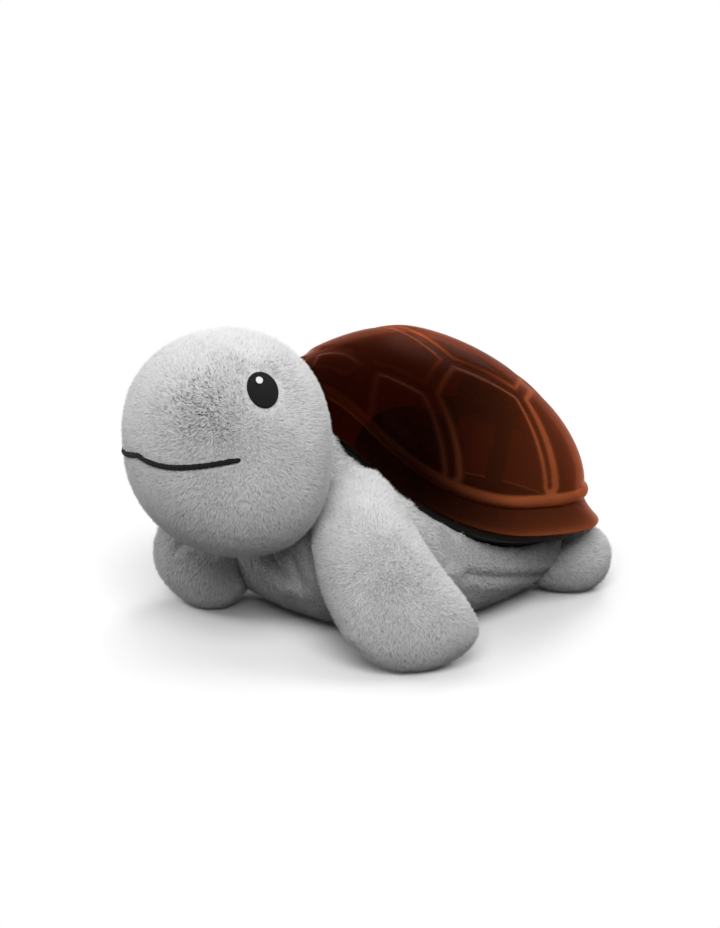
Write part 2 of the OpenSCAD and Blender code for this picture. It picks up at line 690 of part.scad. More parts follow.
// everything below the tray floor
module under_tray() { shell_frame() translate([-far/2, -far/2, tray_floor - tray_wall - far]) cube(far); }
module battery_box() {
    color(tray_black) difference() {
        union() {
            intersection() {
                box_block(0, shell_z);
                under_tray();
            }
            box_foot(0);
        }
        translate([-bay_x/2, box_front, -1]) cube([bay_x, bay_y, bay_top + 1]);
        translate([-bay_x/2, box_front, -1]) cube([bay_x, bay_y + latch_l, door_top + 0.2 + 1]);
        translate([-bay_x/2, box_front, bay_top + box_wall]) cube([bay_x, bay_y + latch_l, shell_z]);
        translate([-bay_x/2 - pin_l, hinge_y, hinge_z]) rotate([0, 90, 0])
            cylinder(h = bay_x + 2*pin_l, r = pin_r + pin_gap, $fn = 32);
        translate([0, latch_y, door_top]) cylinder(h = 9, r = latch_r, $fn = 24);
    }
}

function cell_x(i) = (i - (cell_count - 1)/2)*(cell_d + cell_gap);
function cell_turned(i) = i % 2 == 1;
module cell_frame(i) {
    translate([cell_x(i), box_front + bay_y/2, cell_z]) rotate([0, 0, cell_turned(i) ? 180 : 0])
        translate([0, -bay_y/2, 0]) children();
}
cell_start = plate_t + spring_l;
nub = 0.8;
module battery_cells() {
    color([0.72, 0.55, 0.3]) for (i = [0:cell_count - 1])
        cell_frame(i) translate([0, cell_start, 0]) rotate([-90, 0, 0]) {
        cylinder(h = cell_l - nub, r = cell_d/2, $fn = 48);
        translate([0, 0, cell_l - nub]) cylinder(h = nub, r = cell_d*0.18, $fn = 32);
    }
}
module contact_plates() {
    plate = [cell_d - 1.5, plate_t, cell_d - 2];
    color(steel) for (i = [0:cell_count - 1], y = [0, bay_y - plate_t]) cell_frame(i)
        translate([-plate.x/2, y, -plate.z/2]) cube(plate);
}

// a cell spring: one wire that winds in towards the cell
spring_rings = 8;
function spring_radius(s) = cell_d*0.36 - cell_d*0.14*s;
spring_path = [for (k = [0:spring_turns*spring_rings]) let (s = k/(spring_turns*spring_rings))
    let (r = spring_radius(s))
    let (y = plate_t + spring_d/2 + pin_gap + (spring_l - spring_d - 2*pin_gap)*s)
    [r*cos(360*k/spring_rings), y, r*sin(360*k/spring_rings)]];
spring_self_gap = min([for (k = [spring_rings:len(spring_path) - 1])
    norm(spring_path[k] - spring_path[k - spring_rings])]) - spring_d;
echo(spring_self_gap = spring_self_gap);
module cell_springs() {
    color(steel) for (i = [0:cell_count - 1]) cell_frame(i) tube(spring_path, spring_d/2, 6);
}

door_x = bay_x - 2*seat_gap;
door_y = bay_y + latch_l - 2*seat_gap;
module battery_door() {
    color(tray_black) difference() {
        union() {
            translate([-door_x/2, hinge_y, door_z]) cube([door_x, door_y - door_t/2, door_t]);
            translate([-door_x/2, hinge_y, hinge_z]) rotate([0, 90, 0])
                cylinder(h = door_x, r = door_t/2, $fn = 48);
            translate([-bay_x/2 - pin_l + pin_gap, hinge_y, hinge_z]) rotate([0, 90, 0])
                cylinder(h = bay_x + 2*(pin_l - pin_gap), r = pin_r, $fn = 32);
        }
        translate([0, latch_y, door_z - 1]) cylinder(h = door_t + 2, r = latch_r + 0.1, $fn = 24);
        translate([0, latch_y, door_z - 1]) cylinder(h = 2.4, r = screw_head_r + 0.2, $fn = 32);
        for (i = [-3:3]) translate([-door_x/4, box_front + bay_y*0.4 + 2.4*i, door_z - 1])
            cube([door_x/2, 1.2, 1.5]);
    }
}
module door_screw() {
    color(steel) translate([0, latch_y, door_z]) {
        translate([0, 0, 1.4]) cylinder(h = door_t - 1.4 + latch_grip, r = latch_r - 0.2, $fn = 24);
        cylinder(h = 1.4, r = screw_head_r, $fn = 32);
    }
}

// leads
lead_r = 0.7;
lead_drop = 8;
lead_pitch = 2.4;
lead_levels = [tray_floor - lead_drop, tray_floor - tray_wall, tray_floor + tray_wall, board_z];
function lead_at(x) = [for (z = lead_levels) [lead_hole.x + x, lead_hole.y, z]];
module battery_leads() {
    color("firebrick") shell_frame() for (i = [-0.5, 0.5]) tube(lead_at(i*lead_pitch), lead_r);
}

switch_lead_r = 0.5;
switch_lead_pitch = 2;
lead_bend = 6;
lead_sag = 8;
lead_rise = 10;

function switch_lead(x) =
    let (a = row_c + row_out*(row_drop(-1) - switch_depth - board_t))
    let (b = a - row_out*lead_bend)
    let (end = [x, board_c.y + board_y/2 - board_edge/2, board_top])
    let (low = [x, b.y*0.4 + end.y*0.6, b.z - lead_sag])
    [a + [x, 0, 0], b + [x, 0, 0], low, [x, end.y, end.z + lead_rise], end];
module switch_leads() {
    color("silver") shell_frame() for (i = [-1.5:1.5])
        tube(switch_lead(i*switch_lead_pitch), switch_lead_r, 6);
}

plush_body();
plush_head();
flipper_left();
flipper_right();
rear_foot_left();
rear_foot_right();
eye_left();
eye_right();
eye_glints();
mouth_stitching();
shell_dome();
base_tray();
star_mask();
circuit_board();
control_chip();
led_amber();
led_green();
led_blue();
switch_bracket();
switch_board();
switch_bodies();
button_collars();
button_left();
button_middle();
button_right();
plunger_left();
plunger_middle();
plunger_right();
battery_box();
battery_cells();
contact_plates();
cell_springs();
battery_door();
door_screw();
dome_screws();
board_screws();
battery_leads();
switch_leads();
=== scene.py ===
import math

import bmesh
import bpy
import numpy as np
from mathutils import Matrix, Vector
from mathutils.bvhtree import BVHTree


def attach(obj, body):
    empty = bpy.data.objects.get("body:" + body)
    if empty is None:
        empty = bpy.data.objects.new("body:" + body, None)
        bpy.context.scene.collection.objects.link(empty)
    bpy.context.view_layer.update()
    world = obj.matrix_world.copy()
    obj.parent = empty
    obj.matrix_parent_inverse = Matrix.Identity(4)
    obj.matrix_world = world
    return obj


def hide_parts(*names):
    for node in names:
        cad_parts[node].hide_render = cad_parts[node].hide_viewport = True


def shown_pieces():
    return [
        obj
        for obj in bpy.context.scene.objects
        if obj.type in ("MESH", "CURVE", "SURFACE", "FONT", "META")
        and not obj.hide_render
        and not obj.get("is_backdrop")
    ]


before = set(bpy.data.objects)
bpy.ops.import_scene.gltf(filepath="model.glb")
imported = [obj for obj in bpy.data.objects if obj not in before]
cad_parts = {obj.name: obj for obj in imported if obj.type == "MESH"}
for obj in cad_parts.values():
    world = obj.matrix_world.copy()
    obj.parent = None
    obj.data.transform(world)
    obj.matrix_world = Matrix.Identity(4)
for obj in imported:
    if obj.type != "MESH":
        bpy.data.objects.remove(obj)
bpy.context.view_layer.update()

scene = bpy.context.scene
mm = 0.001


# camera and stage

cameraSet = {"azimuth": 44, "elevation": 17, "target": (0, -0.002, 0.067), "distance": 1.1, "lens": 93.1,
             "sensor": 36}


def addCamera():
    a, e = math.radians(cameraSet["azimuth"]), math.radians(cameraSet["elevation"])
    back = Vector((math.sin(a) * math.cos(e), -math.cos(a) * math.cos(e), math.sin(e)))
    data = bpy.data.cameras.new("camera")
    data.lens = cameraSet["lens"]
    data.sensor_width = cameraSet["sensor"]
    data.clip_start, data.clip_end = 0.01, 30
    camera = bpy.data.objects.new("camera", data)
    camera.location = Vector(cameraSet["target"]) + back * cameraSet["distance"]
    camera.rotation_mode = "QUATERNION"
    camera.rotation_quaternion = (-back).to_track_quat("-Z", "Y")
    scene.collection.objects.link(camera)
    scene.camera = camera


def newMaterial(name):
    material = bpy.data.materials.new(name)
    material.use_nodes = True
    nodes, links = material.node_tree.nodes, material.node_tree.links
    return material, nodes, links, nodes["Principled BSDF"]


def seenDirect(nodes, links):
    # 1 for what the camera, gloss and clear plastic look at
    path = nodes.new("ShaderNodeLightPath")
    first = nodes.new("ShaderNodeMath")
    first.operation = "MAXIMUM"
    both = nodes.new("ShaderNodeMath")
    both.operation = "MAXIMUM"
    links.new(path.outputs["Is Camera Ray"], first.inputs[0])
    links.new(path.outputs["Is Glossy Ray"], first.inputs[1])
    links.new(first.outputs[0], both.inputs[0])
    links.new(path.outputs["Is Transmission Ray"], both.inputs[1])
    return both.outputs[0]


stageSet = {
    "size": 8, "below": 0.0006, "colour": (0.93, 0.93, 0.93, 1), "bounce": (0.1, 0.1, 0.1, 1), "rough": 0.9,
    "specular": 0.1, "plainFrom": 0.13, "plainTo": 0.23, "centre": (0.01, -0.01, 0.0),
}
lightSet = {
    "ambient": 0.16, "aim": (0, 0, 0.06),
    "top": {"at": (0.0, 0.05, 1.5), "size": 1.4, "power": 4},
    "front": {"at": (0.85, -0.85, 1.05), "size": 0.9, "power": 20},
    "right": {"at": (1.0, 0.7, 1.2), "size": 0.8, "power": 5},
    "left": {"at": (-1.0, -0.75, 0.8), "size": 0.8, "power": 8},
    "back": {"at": (-0.5, 1.25, 1.1), "size": 0.9, "power": 9},
}


def addStage():
    s = stageSet["size"]
    mesh = bpy.data.meshes.new("floor")
    mesh.from_pydata([(-s, -s, 0), (s, -s, 0), (s, s, 0), (-s, s, 0)], [], [(0, 1, 2, 3)])
    floor = bpy.data.objects.new("floor", mesh)
    scene.collection.objects.link(floor)
    floor.location.z = -stageSet["below"]
    floor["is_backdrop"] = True
    material, nodes, links, shader = newMaterial("paleFloor")
    shader.inputs["Base Color"].default_value = stageSet["colour"]
    shader.inputs["Roughness"].default_value = stageSet["rough"]
    shader.inputs["Specular IOR Level"].default_value = stageSet["specular"]
    # what the floor throws back on the turtle is kept low, as on a table top
    dim = nodes.new("ShaderNodeBsdfDiffuse")
    dim.inputs["Color"].default_value = stageSet["bounce"]
    near = nodes.new("ShaderNodeMixShader")
    # away from the turtle the floor goes over into the plain white ground
    glow = nodes.new("ShaderNodeEmission")
    where = nodes.new("ShaderNodeNewGeometry")
    reach = nodes.new("ShaderNodeVectorMath")
    reach.operation = "DISTANCE"
    reach.inputs[1].default_value = stageSet["centre"]
    fade = nodes.new("ShaderNodeMapRange")
    fade.interpolation_type = "SMOOTHSTEP"
    fade.inputs["From Min"].default_value = stageSet["plainFrom"]
    fade.inputs["From Max"].default_value = stageSet["plainTo"]
    share = nodes.new("ShaderNodeMath")
    share.operation = "MULTIPLY"
    mix = nodes.new("ShaderNodeMixShader")
    links.new(where.outputs["Position"], reach.inputs[0])
    links.new(reach.outputs["Value"], fade.inputs["Value"])
    links.new(fade.outputs["Result"], share.inputs[0])
    seen = seenDirect(nodes, links)
    links.new(seen, near.inputs[0])
    links.new(dim.outputs[0], near.inputs[1])
    links.new(shader.outputs[0], near.inputs[2])
    links.new(seen, share.inputs[1])
    links.new(share.outputs[0], mix.inputs[0])
    links.new(near.outputs[0], mix.inputs[1])
    links.new(glow.outputs[0], mix.inputs[2])
    links.new(mix.outputs[0], nodes["Material Output"].inputs[0])
    mesh.materials.append(material)

    world = bpy.data.worlds.new("studio")
    world.use_nodes = True
    nodes, links = world.node_tree.nodes, world.node_tree.links
    ground = nodes["Background"]
    ground.inputs["Color"].default_value = (1, 1, 1, 1)
    ground.inputs["Strength"].default_value = lightSet["ambient"]
    plain = nodes.new("ShaderNodeBackground")
    plain.inputs["Color"].default_value = (1, 1, 1, 1)
    plain.inputs["Strength"].default_value = 1
    mix = nodes.new("ShaderNodeMixShader")
    links.new(seenDirect(nodes, links), mix.inputs[0])
    links.new(ground.outputs[0], mix.inputs[1])
    links.new(plain.outputs[0], mix.inputs[2])
    links.new(mix.outputs[0], nodes["World Output"].inputs[0])
    scene.world = world
    for name in ("top", "front", "right", "left", "back"):
        lamp = lightSet[name]
        data = bpy.data.lights.new(name, "AREA")
        data.shape = "DISK"
        data.size = lamp["size"]
        data.energy = lamp["power"]
        light = bpy.data.objects.new(name, data)
        light.location = lamp["at"]
        light.rotation_mode = "QUATERNION"
        aim = Vector(lightSet["aim"]) - Vector(lamp["at"])
        light.rotation_quaternion = aim.to_track_quat("-Z", "Y")
        scene.collection.objects.link(light)
    scene.view_settings.view_transform = "Standard"


addCamera()
addStage()
print("stage: camera, floor and soft light")


# mesh and material helpers

def addMesh(name, points, corners, material, smooth=True):
    # corners is an array of triangles or of quads
    points = np.asarray(points, np.float32)
    corners = np.asarray(corners, np.int32)
    count, sides = corners.shape
    mesh = bpy.data.meshes.new(name)
    mesh.vertices.add(len(points))
    mesh.vertices.foreach_set("co", points.ravel())
    mesh.loops.add(count * sides)
    mesh.loops.foreach_set("vertex_index", corners.ravel())
    mesh.polygons.add(count)
    mesh.polygons.foreach_set("loop_start", np.arange(0, count * sides, sides, dtype=np.int32))
    mesh.polygons.foreach_set("loop_total", np.full(count, sides, np.int32))
    mesh.polygons.foreach_set("use_smooth", np.full(count, smooth))
    mesh.update(calc_edges=True)
    mesh.validate()
    mesh.materials.append(material)
    piece = bpy.data.objects.new(name, mesh)
    scene.collection.objects.link(piece)
    return piece


def gridCorners(rows, columns):
    # quads between closed rings of equal length
    j, i = np.meshgrid(np.arange(rows - 1), np.arange(columns), indexing="ij")
    low, high = j * columns, (j + 1) * columns
    k = (i + 1) % columns
    return np.stack([low + i, low + k, high + k, high + i], -1).reshape(-1, 4)


def addFaces(piece, faces, smooth):
    # closes a mesh with faces between its points and turns all faces outwards
    work = bmesh.new()
    work.from_mesh(piece.data)
    work.verts.ensure_lookup_table()
    for face in faces:
        work.faces.new([work.verts[i] for i in face]).smooth = smooth
    bmesh.ops.recalc_face_normals(work, faces=work.faces)
    work.to_mesh(piece.data)
    work.free()


def addLevels(piece, name, levels):
    # a value per point, which the material reads
    attribute = piece.data.attributes.new(name, "FLOAT", "POINT")
    attribute.data.foreach_set("value", np.asarray(levels, np.float32).ravel())


def meshNormals(mesh):
    normals = np.zeros(len(mesh.vertices) * 3, np.float32)
    mesh.vertex_normals.foreach_get("vector", normals)
    return normals.reshape(-1, 3).astype(float)


def meshPoints(mesh):
    co = np.zeros(len(mesh.vertices) * 3, np.float32)
    mesh.vertices.foreach_get("co", co)
    return co.reshape(-1, 3).astype(float)


def setPoints(mesh, points):
    mesh.vertices.foreach_set("co", np.asarray(points, np.float32).ravel())
    mesh.update()


def treeOf(meshes):
    # for finding what lies near a point
    points, faces, start = [], [], 0
    for mesh in meshes:
        points.extend(v.co[:] for v in mesh.vertices)
        faces.extend([start + i for i in f.vertices] for f in mesh.polygons)
        start += len(mesh.vertices)
    return BVHTree.FromPolygons(points, faces)


def unit(vectors):
    return vectors / (np.linalg.norm(vectors, axis=1)[:, None] + 1e-9)


def smoothStep(k):
    return k * k * (3 - 2 * k)


def noiseNode(nodes, links, scale, detail=3, rough=0.6):
    where = nodes.new("ShaderNodeTexCoord")
    noise = nodes.new("ShaderNodeTexNoise")
    noise.inputs["Scale"].default_value = scale
    noise.inputs["Detail"].default_value = detail
    noise.inputs["Roughness"].default_value = rough
    links.new(where.outputs["Object"], noise.inputs["Vector"])
    return noise.outputs["Fac"]


def rampNode(nodes, links, source, stops):
    ramp = nodes.new("ShaderNodeValToRGB")
    while len(ramp.color_ramp.elements) < len(stops):
        ramp.color_ramp.elements.new(0.5)
    for element, (place, colour) in zip(ramp.color_ramp.elements, stops):
        element.position = place
        element.color = (*colour, 1)
    links.new(source, ramp.inputs["Fac"])
    return ramp.outputs["Color"]


def bumpNode(nodes, links, shader, source, strength, depth):
    bump = nodes.new("ShaderNodeBump")
    bump.inputs["Strength"].default_value = strength
    bump.inputs["Distance"].default_value = depth
    links.new(source, bump.inputs["Height"])
    links.new(bump.outputs["Normal"], shader.inputs["Normal"])


def rangeNode(nodes, links, source, low, high):
    span = nodes.new("ShaderNodeMapRange")
    span.inputs["To Min"].default_value = low
    span.inputs["To Max"].default_value = high
    links.new(source, span.inputs["Value"])
    return span.outputs["Result"]


def shade(colour, k):
    return tuple(min(1, c * k) for c in colour)


def grey(level):
    return (level, level, level)


def paint(nodes, links, shader, source, low, high, start=0.3, end=0.7):
    links.new(rampNode(nodes, links, source, [(start, low), (end, high)]), shader.inputs["Base Color"])


def mouldedPlastic(name, colour, rough, gloss):
    material, nodes, links, shader = newMaterial(name)
    paint(nodes, links, shader, noiseNode(nodes, links, 70), shade(colour, 0.82), shade(colour, 1.18))
    fine = noiseNode(nodes, links, 900, 2)
    links.new(rangeNode(nodes, links, fine, rough * 0.8, rough * 1.2), shader.inputs["Roughness"])
    shader.inputs["Specular IOR Level"].default_value = gloss
    bumpNode(nodes, links, shader, fine, 0.3, 0.00006)
    return material


def platedMetal(name, colour, rough):
    material, nodes, links, shader = newMaterial(name)
    streak = noiseNode(nodes, links, 500, 4)
    paint(nodes, links, shader, streak, shade(colour, 0.8), colour)
    links.new(rangeNode(nodes, links, streak, rough * 0.7, rough * 1.3), shader.inputs["Roughness"])
    shader.inputs["Metallic"].default_value = 1
    bumpNode(nodes, links, shader, streak, 0.15, 0.00003)
    return material


def clearLens(name, colour):
    material, nodes, links, shader = newMaterial(name)
    cloud = noiseNode(nodes, links, 300)
    paint(nodes, links, shader, cloud, shade(colour, 0.8), colour)
    shader.inputs["Roughness"].default_value = 0.12
    shader.inputs["Transmission Weight"].default_value = 0.5
    bumpNode(nodes, links, shader, cloud, 0.1, 0.00005)
    return material


# shell: the same oval dome, bead and skirt as the solid, with soft moulded panels; millimetres

# the lit tint and its clearness, and the pale, crown and line values, set the painted light on the shell
shellSet = {
    "at": (0, 20, 46), "pitch": 9, "length": 84, "width": 76, "height": 80, "beadZ": 17, "beadR": 3,
    "flare": 9, "lift": 39, "wall": 2.2, "egg": 0.25, "blunt": 0.33, "fullness": 1.19, "crownShift": -3,
    "edge": 0.9, "panelRise": 1.0, "panelEdge": 1.8, "panelBevel": 3.4, "columns": 456,
    "tint": (0.085, 0.02, 0.01), "litTint": (0.46, 0.115, 0.04), "clear": 0.97, "litClear": 0.5,
    "rough": 0.19, "ior": 1.03, "specular": 0.12, "specularTint": (0.5, 0.15, 0.06, 1), "sheen": 0.7,
    "sheenTint": (0.55, 0.11, 0.025, 1), "sheenRough": 0.35, "backlightFrom": 0.1, "backlightTo": 1.0, "pale": 0.5,
    "rearLean": 0.7, "crown": 0.7, "crownFrom": 0.65, "crownOver": 0.5, "lineLow": 0.1, "lineSamples": 36,
}
# outlines on the dome seen from above, the rim at radius 1: half of each middle panel, mirrored later,
# and the left side panels, which run on past the rim
spinePanels = [
    [(0.3, -0.72), (0.62, -0.38), (0.44, -0.08), (0.2, -0.084), (0.1, -0.095), (0.03, -0.115)],
    [(0.03, -0.115), (0.1, -0.095), (0.2, -0.084), (0.44, -0.08), (0.65, 0.22), (0.45, 0.47)],
    [(0.45, 0.47), (0.53, 0.71), (0.36, 0.9)],
    [(0.2, -0.96), (0.3, -0.72)]]
sidePanels = [
    [(0.5, -0.95), (0.8, -0.75), (0.99, -0.42), (0.62, -0.38), (0.3, -0.72)],
    [(0.99, -0.42), (1.1, -0.12), (1.05, 0.2), (0.65, 0.22), (0.44, -0.08), (0.62, -0.38)],
    [(1.05, 0.2), (0.95, 0.55), (0.74, 0.78), (0.53, 0.71), (0.45, 0.47), (0.65, 0.22)]]


def planOval(t, grow):
    s = shellSet
    across = (s["width"] + grow) * np.cos(t) * (1 + s["egg"] * np.sin(t))
    along = (s["length"] + grow) * np.sin(t) * np.where(np.sin(t) > 0, 1, 1 - s["blunt"] * np.sin(t) ** 2)
    return across, along


def archRise(t):
    return np.where(np.sin(t) < 0, shellSet["lift"] * np.sin(t) ** 2, 0)


def rimPoint(t, grow, z):
    across, along = planOval(t, grow)
    return np.stack([across, along, z + archRise(t)], -1)


def domePoint(t, c, grow):
    s = shellSet
    across, along = planOval(t, grow)
    base = s["beadZ"] + archRise(t)
    rise = np.sin(np.arccos(np.clip(c, 0, 1) ** (1 / s["fullness"]))) ** s["fullness"]
    tall = base + (s["height"] + grow - base) * rise
    return np.stack([across * c, along * c + s["crownShift"] * (1 - c), tall], -1)


def shellToFrame(points):
    p = math.radians(shellSet["pitch"])
    x, y, z = points[..., 0], points[..., 1], points[..., 2]
    turned = np.stack([x, y * math.cos(p) + z * math.sin(p), z * math.cos(p) - y * math.sin(p)], -1)
    return (turned + np.array(shellSet["at"])) * mm


def insideOutline(points, outline):
    inside = np.zeros(len(points), bool)
    for (x0, y0), (x1, y1) in zip(outline, outline[1:] + outline[:1]):
        crosses = (y0 > points[:, 1]) != (y1 > points[:, 1])
        at = x0 + (points[:, 1] - y0) * (x1 - x0) / (y1 - y0 if y1 != y0 else 1e-9)
        inside ^= crosses & (points[:, 0] < at)
    return inside


def mirrored(outline):
    return [(-x, y) for x, y in reversed(outline)]


def panelOutlines():
    return [v + mirrored(v) for v in spinePanels] + sidePanels + [mirrored(v) for v in sidePanels]


def panelHeight(t, c):
    # how far a point of the dome is raised: full inside a panel, nothing in the channels
    s = shellSet
    disc = np.stack([c * np.cos(t), c * np.sin(t)], -1)
    here = domePoint(t, c, 0)
    height = np.zeros(len(t))
    for outline in panelOutlines():
        line = []
        for a, b in zip(outline, outline[1:] + outline[:1]):
            k = np.linspace(0, 1, s["lineSamples"], endpoint=False)[:, None]
            line.append(np.array(a) * (1 - k) + np.array(b) * k)
        line = np.concatenate(line)
        line = line[np.hypot(line[:, 0], line[:, 1]) < 1]
        edge = domePoint(np.arctan2(line[:, 1], line[:, 0]), np.hypot(line[:, 0], line[:, 1]), 0)
        inside = np.where(insideOutline(disc, outline))[0]
        for part in np.array_split(inside, max(1, len(inside) // 2000)):
            gap = np.sqrt(((here[part, None] - edge[None]) ** 2).sum(-1)).min(1)
            k = np.clip((gap - s["panelEdge"]) / s["panelBevel"], 0, 1)
            height[part] = np.maximum(height[part], s["panelRise"] * smoothStep(k))
    return height


def paintedBacklight(t, c):
    # painted light: the plastic is coloured paler over the crown, and towards the rear on both sides, where
    # light comes through the shell from above and behind
    s = shellSet
    rear = c * s["rearLean"] * (np.abs(np.cos(t)) + np.sin(t))
    rear = np.clip((rear - s["backlightFrom"]) / (s["backlightTo"] - s["backlightFrom"]), 0, 1)
    crown = np.clip((s["crownFrom"] - c) / s["crownOver"], 0, 1)
    return np.maximum(smoothStep(rear), s["crown"] * smoothStep(crown))


def paintedLightShare(line, t, c):
    # how far the plastic goes over into its paler lit tint: painted highlights along the panel lines, stronger
    # where the painted light over the crown and rear is, plus that painted light
    pale, low = paintedBacklight(t, c), shellSet["lineLow"]
    return np.clip(line * (low + (1 - low) * pale) + shellSet["pale"] * pale, 0, 1)


def skirtOut(k):
    s = shellSet
    return s["beadR"] * 0.4 + (s["flare"] - s["beadR"] * 0.4) * k ** 1.5


def tintedShell():
    # clear brown plastic, coloured paler and less clear where light is painted on: along the panel lines, bead
    # and skirt, over the crown and towards the rear
    s = shellSet
    material, nodes, links, shader = newMaterial("tintedShell")
    cloud = noiseNode(nodes, links, 22, 2, 0.4)
    # edge reads the share of painted light
    edge = nodes.new("ShaderNodeAttribute")
    edge.attribute_name = "paintedLight"
    mix = nodes.new("ShaderNodeMix")
    mix.data_type = "RGBA"
    links.new(edge.outputs["Fac"], mix.inputs["Factor"])
    for tint, socket in ((s["tint"], mix.inputs[6]), (s["litTint"], mix.inputs[7])):
        links.new(rampNode(nodes, links, cloud, [(0.3, shade(tint, 0.88)), (0.7, shade(tint, 1.1))]), socket)
    links.new(mix.outputs[2], shader.inputs["Base Color"])
    clear = rangeNode(nodes, links, edge.outputs["Fac"], s["clear"], s["litClear"])
    links.new(clear, shader.inputs["Transmission Weight"])
    shader.inputs["Roughness"].default_value = s["rough"]
    shader.inputs["IOR"].default_value = s["ior"]
    shader.inputs["Specular IOR Level"].default_value = s["specular"]
    shader.inputs["Specular Tint"].default_value = s["specularTint"]
    shader.inputs["Sheen Weight"].default_value = s["sheen"]
    shader.inputs["Sheen Tint"].default_value = s["sheenTint"]
    shader.inputs["Sheen Roughness"].default_value = s["sheenRough"]
    bumpNode(nodes, links, shader, noiseNode(nodes, links, 35, 1), 0.06, 0.0006)
    return material


def addShell():
    s = shellSet
    count = s["columns"]
    t = np.linspace(0, 2 * np.pi, count, endpoint=False)
    rings = []
    # outer wall from the crown to the rim, with closer rings near the steep rim
    steep = 0.9 + 0.1 * np.sin(np.linspace(0.06, 1, 44) * np.pi / 2)
    shares = np.concatenate([[0.004], np.linspace(0.02, 0.9, 104), steep])
    shares = shares[shares < 0.9995]
    heights = np.stack([panelHeight(t, np.full(count, c)) for c in shares])
    # soften the corners of the panels a little
    for i in range(3):
        wide = np.roll(heights, 1, 1) + np.roll(heights, -1, 1)
        tall = np.concatenate([heights[:1], heights[:-1]]) + np.concatenate([heights[1:], heights[-1:]])
        heights = 0.4 * heights + 0.15 * (wide + tall)
    share = np.clip(heights / s["panelRise"], 0, 1)
    # painted highlights mid-way up the panel bevels
    lines = np.clip(4 * share * (1 - share), 0, 1)
    paintedLight = [paintedLightShare(line, t, c) for line, c in zip(lines, shares)]
    for c, h in zip(shares, heights):
        low, high = domePoint(t, c, 0), domePoint(t, c, s["panelRise"])
        rings.append(low + (high - low) * (h / s["panelRise"])[:, None])
    # bead, skirt and its rounded edge
    # the bead's upper face and the skirt towards its lower edge get painted light too
    for a in np.radians(np.linspace(62, -75, 15)):
        z = s["beadZ"] - s["beadR"] * 0.9 + s["beadR"] * math.sin(a)
        rings.append(rimPoint(t, s["beadR"] * math.cos(a), z))
        paintedLight.append(paintedLightShare(max(0, math.cos(a - 0.3)), t, 1))
    drop = s["beadZ"] - s["beadR"] * 2
    for k in np.linspace(0.15, 1, 11):
        rings.append(rimPoint(t, skirtOut(k), drop * (1 - k) + s["edge"]))
        paintedLight.append(paintedLightShare(0.5 * k ** 6, t, 1))
    for a in np.radians([25, 50, 75, 90]):
        rings.append(rimPoint(t, s["flare"] - s["edge"] * (1 - math.cos(a)), s["edge"] * (1 - math.sin(a))))
    # inner wall, back up to the crown
    rings.append(rimPoint(t, s["flare"] - s["wall"], 0))
    for k in np.linspace(0.9, 0.1, 9):
        rings.append(rimPoint(t, skirtOut(k) - s["wall"], drop * (1 - k) + s["edge"]))
    rings.append(rimPoint(t, -s["wall"], s["beadZ"] - s["beadR"]))
    for c in np.concatenate([[0.992, 0.975, 0.95], np.linspace(0.92, 0.02, 24)]):
        rings.append(domePoint(t, c, -s["wall"]))
    middle = np.zeros(1)
    rings += [domePoint(middle, middle, 0), domePoint(middle, middle, -s["wall"])]
    points = shellToFrame(np.concatenate(rings))
    rows = len(rings) - 2
    piece = addMesh("shell", points, gridCorners(rows, count)[:, ::-1], tintedShell())
    crown, last = rows * count, (rows - 1) * count
    closing = []
    for i in range(count):
        k = (i + 1) % count
        closing += [(crown, i, k), (crown + 1, last + k, last + i)]
    addFaces(piece, closing, True)
    level = np.zeros(len(points))
    outer = np.concatenate(paintedLight)
    level[:len(outer)] = outer
    addLevels(piece, "paintedLight", level)
    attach(piece, "turtle")
    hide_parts("shell_dome")


addShell()
print("shell: dome, panels, bead and skirt")


# plush: each stuffed form is made from its solid, filled, drawn in and then grown over with a short pile

# the head's own form, the eyes and the mouth: millimetres and degrees, about the middle of the head
headSet = {"at": (0, -77.5, 96), "turn": 15, "width": 51, "front": 48, "back": 33, "top": 46, "low": 50,
           "power": 2.25, "round": 0.92}
eyeSet = {"at": (42, -10, 33.8), "glintAt": (39.3, -10.2, 37.3), "tilt": 2, "length": 18.5, "width": 14.1,
          "glintLength": 3.6, "glintWidth": 3.2, "rise": 1.1}
mouthSet = {"reach": 45.5, "z": -1.6, "curl": 3.5, "slant": 0.07, "dip": 1.2, "farDip": 2.6, "cusp": 0.8,
            "thick": 2.3, "rise": 0.5, "sides": 14}


def toHead(points):
    # metres in the frame to millimetres about the head
    a = math.radians(headSet["turn"])
    x, y, z = (np.asarray(points) / mm - np.array(headSet["at"])).T
    return np.stack([x * math.cos(a) - y * math.sin(a), x * math.sin(a) + y * math.cos(a), z], -1)


def fromHead(points):
    a = math.radians(headSet["turn"])
    x, y, z = np.asarray(points).T
    turned = np.stack([x * math.cos(a) + y * math.sin(a), y * math.cos(a) - x * math.sin(a), z], -1)
    return (turned + np.array(headSet["at"])) * mm


def headReach(p):
    # 1 on the head's own form, less inside it
    s = headSet
    e = 2 / s["round"]
    depth = np.where(p[:, 1] > 0, s["back"], s["front"])
    tall = np.where(p[:, 2] > 0, s["top"], s["low"])
    flat = ((np.abs(p[:, 0]) / s["width"]) ** e + (np.abs(p[:, 1]) / depth) ** e) ** (1 / e)
    return (flat ** s["power"] + (np.abs(p[:, 2]) / tall) ** s["power"]) ** (1 / s["power"])


def onHead(p, rise):
    # drops points on the head's form and lifts them off it
    p = p / headReach(p)[:, None]
    slope = np.stack([headReach(p + step) - headReach(p - step) for step in 0.05 * np.eye(3)], -1)
    slope /= np.linalg.norm(slope, axis=1)[:, None]
    return p + slope * np.reshape(rise, (-1, 1))


def softField(points, size, seed):
    # three smooth random fields over space, about -1 to 1
    rng = np.random.default_rng(seed)
    total = np.zeros((len(points), 3))
    for i in range(10):
        wave = rng.normal(size=(3, 3)) * (2 * np.pi / size) * 0.6
        total += np.sin(points @ wave.T + rng.uniform(0, 2 * np.pi, 3))
    return total / 3.2


